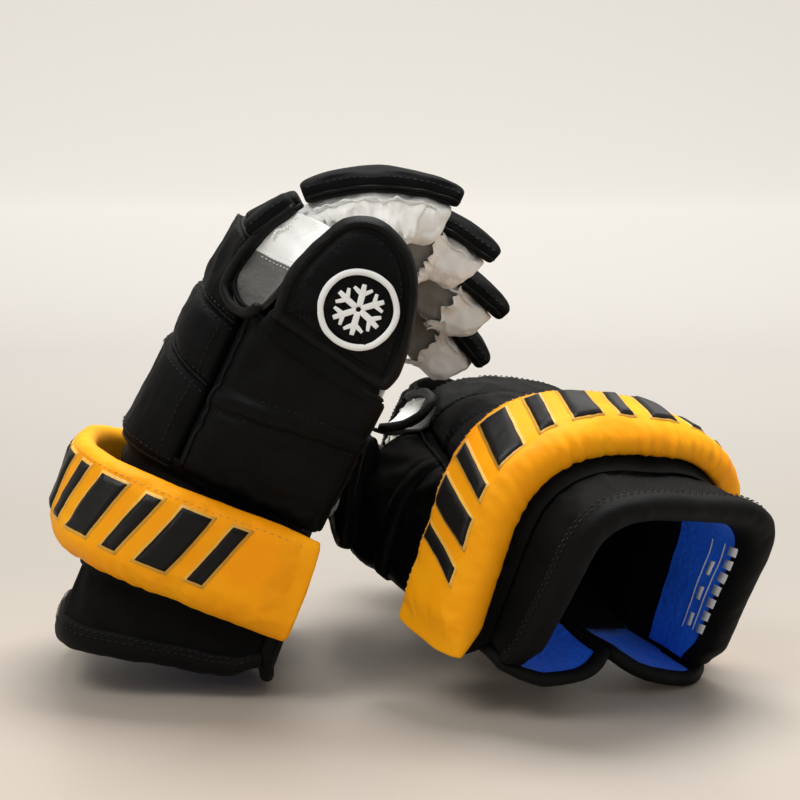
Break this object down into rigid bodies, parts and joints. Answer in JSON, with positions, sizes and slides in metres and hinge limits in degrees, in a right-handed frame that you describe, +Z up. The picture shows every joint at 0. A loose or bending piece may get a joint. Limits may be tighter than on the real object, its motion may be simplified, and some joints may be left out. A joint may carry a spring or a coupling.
{
  "type": "pair of ice hockey gloves",
  "caption": "Pair of padded ice hockey gloves, one lying palm down and one standing on its cuff, with hinged fingers, thumbs, cuffs and wrist rolls.",
  "frame": {"origin": "on the ground under the middle of the pair's bounding box", "axes": "+X across the pair, from the standing left glove to the lying right glove, +Y away from the side that shows the standing glove's thumb, +Z up"},
  "size_m": [0.3866, 0.3167, 0.2738],
  "materials": {
    "black_nylon": "matte woven nylon over foam",
    "palm_leather": "suede-like synthetic leather",
    "white_leather": "suede-like synthetic leather",
    "splint_plastic": "moulded plate",
    "cuff_fabric": "matte woven nylon",
    "blue_lining": "brushed knit",
    "flap_fabric": "brushed knit with bound edges",
    "binding": "double-stitched tape",
    "gold_nylon": "coated nylon",
    "black_embroidery": "raised satin stitch"
  },
  "bodies": {
    "right_hand": {"right_wrist_pad": "black_nylon", "right_backhand_pad": "black_nylon", "right_knuckle_pad": "black_nylon", "right_side_panel": "black_nylon", "right_palm": "palm_leather"},
    "right_thumb": {"right_thumb_pad": "black_nylon", "right_thumb_stall": "white_leather", "right_thumb_splint": "splint_plastic"},
    "right_cuff": {"right_cuff_shell": "cuff_fabric", "right_cuff_lining": "blue_lining", "right_cuff_flaps": "flap_fabric", "right_cuff_binding": "binding"},
    "right_cuff_roll": {"right_wrist_roll": "gold_nylon", "right_roll_badge": "black_embroidery"},
    "right_index_base": {"right_index_base_pad": "black_nylon", "right_index_base_stall": "white_leather"},
    "right_index_tip": {"right_index_tip_pad": "black_nylon", "right_index_tip_stall": "white_leather"},
    "right_middle_base": {"right_middle_base_pad": "black_nylon", "right_middle_base_stall": "white_leather"},
    "right_middle_tip": {"right_middle_tip_pad": "black_nylon", "right_middle_tip_stall": "white_leather"},
    "right_ring_base": {"right_ring_base_pad": "black_nylon", "right_ring_base_stall": "white_leather"},
    "right_ring_tip": {"right_ring_tip_pad": "black_nylon", "right_ring_tip_stall": "white_leather"},
    "right_little_base": {"right_little_base_pad": "black_nylon", "right_little_base_stall": "white_leather"},
    "right_little_tip": {"right_little_tip_pad": "black_nylon", "right_little_tip_stall": "white_leather"},
    "left_hand": {"left_wrist_pad": "black_nylon", "left_backhand_pad": "black_nylon", "left_knuckle_pad": "black_nylon", "left_side_panel": "black_nylon", "left_palm": "palm_leather"},
    "left_thumb": {"left_thumb_pad": "black_nylon", "left_thumb_stall": "white_leather", "left_thumb_splint": "splint_plastic"},
    "left_cuff": {"left_cuff_shell": "cuff_fabric", "left_cuff_lining": "blue_lining", "left_cuff_flaps": "flap_fabric", "left_cuff_binding": "binding"},
    "left_cuff_roll": {"left_wrist_roll": "gold_nylon", "left_roll_badge": "black_embroidery"},
    "left_index_base": {"left_index_base_pad": "black_nylon", "left_index_base_stall": "white_leather"},
    "left_index_tip": {"left_index_tip_pad": "black_nylon", "left_index_tip_stall": "white_leather"},
    "left_middle_base": {"left_middle_base_pad": "black_nylon", "left_middle_base_stall": "white_leather"},
    "left_middle_tip": {"left_middle_tip_pad": "black_nylon", "left_middle_tip_stall": "white_leather"},
    "left_ring_base": {"left_ring_base_pad": "black_nylon", "left_ring_base_stall": "white_leather"},
    "left_ring_tip": {"left_ring_tip_pad": "black_nylon", "left_ring_tip_stall": "white_leather"},
    "left_little_base": {"left_little_base_pad": "black_nylon", "left_little_base_stall": "white_leather"},
    "left_little_tip": {"left_little_tip_pad": "black_nylon", "left_little_tip_stall": "white_leather"}
  },
  "joints": [
    {"name": "right_cuff_fold", "type": "hinge", "parent": "right_hand", "child": "right_cuff", "pos_m": [0.0768, -0.03746, 0.08225], "axis": [0.7861, 0.5935, -0.1727], "range_deg": [-3, 8], "stiffness_Nm_per_rad": 40},
    {"name": "right_roll_fold", "type": "hinge", "parent": "right_cuff", "child": "right_cuff_roll", "pos_m": [0.0904, -0.07357, 0.02001], "axis": [0.7861, 0.5935, -0.1727], "range_deg": [0, 5], "stiffness_Nm_per_rad": 12},
    {"name": "right_thumb_spread", "type": "hinge", "parent": "right_hand", "child": "right_thumb", "pos_m": [-0.02617, 0.0049, 0.08913], "axis": [0.1609, 0.1974, 0.967], "range_deg": [-8, 2], "stiffness_Nm_per_rad": 12},
    {"name": "right_index_curl", "type": "hinge", "parent": "right_hand", "child": "right_index_base", "pos_m": [0.01612, 0.07276, 0.11896], "axis": [-0.9588, -0.2014, 0.2006], "range_deg": [-6, 14], "stiffness_Nm_per_rad": 14},
    {"name": "right_index_tip_curl", "type": "hinge", "parent": "right_index_base", "child": "right_index_tip", "pos_m": [0.0097, 0.09546, 0.11106], "axis": [-0.9588, -0.2014, 0.2006], "range_deg": [-6, 16], "stiffness_Nm_per_rad": 10},
    {"name": "right_middle_curl", "type": "hinge", "parent": "right_hand", "child": "right_middle_base", "pos_m": [0.0411, 0.09212, 0.1144], "axis": [-0.9588, -0.2014, 0.2006], "range_deg": [-6, 12], "stiffness_Nm_per_rad": 14},
    {"name": "right_middle_tip_curl", "type": "hinge", "parent": "right_middle_base", "child": "right_middle_tip", "pos_m": [0.03453, 0.11231, 0.10327], "axis": [-0.9588, -0.2014, 0.2006], "range_deg": [-6, 14], "stiffness_Nm_per_rad": 10},
    {"name": "right_ring_curl", "type": "hinge", "parent": "right_hand", "child": "right_ring_base", "pos_m": [0.06616, 0.10544, 0.10419], "axis": [-0.9588, -0.2014, 0.2006], "range_deg": [-6, 10], "stiffness_Nm_per_rad": 14},
    {"name": "right_ring_tip_curl", "type": "hinge", "parent": "right_ring_base", "child": "right_ring_tip", "pos_m": [0.05978, 0.12036, 0.08866], "axis": [-0.9588, -0.2014, 0.2006], "range_deg": [-6, 12], "stiffness_Nm_per_rad": 10},
    {"name": "right_little_curl", "type": "hinge", "parent": "right_hand", "child": "right_little_base", "pos_m": [0.09118, 0.11436, 0.08934], "axis": [-0.9588, -0.2014, 0.2006], "range_deg": [-6, 8], "stiffness_Nm_per_rad": 14},
    {"name": "right_little_tip_curl", "type": "hinge", "parent": "right_little_base", "child": "right_little_tip", "pos_m": [0.08558, 0.1252, 0.07347], "axis": [-0.9588, -0.2014, 0.2006], "range_deg": [-6, 8], "stiffness_Nm_per_rad": 10},
    {"name": "left_cuff_fold", "type": "hinge", "parent": "left_hand", "child": "left_cuff", "pos_m": [-0.10254, -0.02246, 0.10047], "axis": [0.0314, -0.9969, 0.0719], "range_deg": [-3, 8], "stiffness_Nm_per_rad": 40},
    {"name": "left_roll_fold", "type": "hinge", "parent": "left_cuff", "child": "left_cuff_roll", "pos_m": [-0.06592, -0.02608, 0.03427], "axis": [0.0314, -0.9969, 0.0719], "range_deg": [0, 5], "stiffness_Nm_per_rad": 12},
    {"name": "left_thumb_spread", "type": "hinge", "parent": "left_hand", "child": "left_thumb", "pos_m": [-0.04366, -0.1063, 0.18507], "axis": [0.8233, -0.015, -0.5674], "range_deg": [-8, 10], "stiffness_Nm_per_rad": 12},
    {"name": "left_index_curl", "type": "hinge", "parent": "left_hand", "child": "left_index_base", "pos_m": [-0.06843, -0.05542, 0.22961], "axis": [-0.0314, 0.9969, -0.0719], "range_deg": [-6, 14], "stiffness_Nm_per_rad": 14},
    {"name": "left_index_tip_curl", "type": "hinge", "parent": "left_index_base", "child": "left_index_tip", "pos_m": [-0.04902, -0.0538, 0.24363], "axis": [-0.0314, 0.9969, -0.0719], "range_deg": [-6, 16], "stiffness_Nm_per_rad": 10},
    {"name": "left_middle_curl", "type": "hinge", "parent": "left_hand", "child": "left_middle_base", "pos_m": [-0.07001, -0.02666, 0.22842], "axis": [-0.0314, 0.9969, -0.0719], "range_deg": [-6, 12], "stiffness_Nm_per_rad": 14},
    {"name": "left_middle_tip_curl", "type": "hinge", "parent": "left_middle_base", "child": "left_middle_tip", "pos_m": [-0.04845, -0.02523, 0.23886], "axis": [-0.0314, 0.9969, -0.0719], "range_deg": [-6, 14], "stiffness_Nm_per_rad": 10},
    {"name": "left_ring_curl", "type": "hinge", "parent": "left_hand", "child": "left_ring_base", "pos_m": [-0.06862, 0.00164, 0.21968], "axis": [-0.0314, 0.9969, -0.0719], "range_deg": [-6, 10], "stiffness_Nm_per_rad": 14},
    {"name": "left_ring_tip_curl", "type": "hinge", "parent": "left_ring_base", "child": "left_ring_tip", "pos_m": [-0.04499, 0.00268, 0.22378], "axis": [-0.0314, 0.9969, -0.0719], "range_deg": [-6, 12], "stiffness_Nm_per_rad": 10},
    {"name": "left_little_curl", "type": "hinge", "parent": "left_hand", "child": "left_little_base", "pos_m": [-0.06448, 0.02961, 0.20516], "axis": [-0.0314, 0.9969, -0.0719], "range_deg": [-6, 8], "stiffness_Nm_per_rad": 14},
    {"name": "left_little_tip_curl", "type": "hinge", "parent": "left_little_base", "child": "left_little_tip", "pos_m": [-0.04251, 0.03036, 0.20587], "axis": [-0.0314, 0.9969, -0.0719], "range_deg": [-6, 8], "stiffness_Nm_per_rad": 10},
    {"name": "left_lift", "type": "slide", "parent": "right_hand", "child": "left_hand", "axis": [0, 0, 1], "range_m": [0, 0.25]}
  ]
}
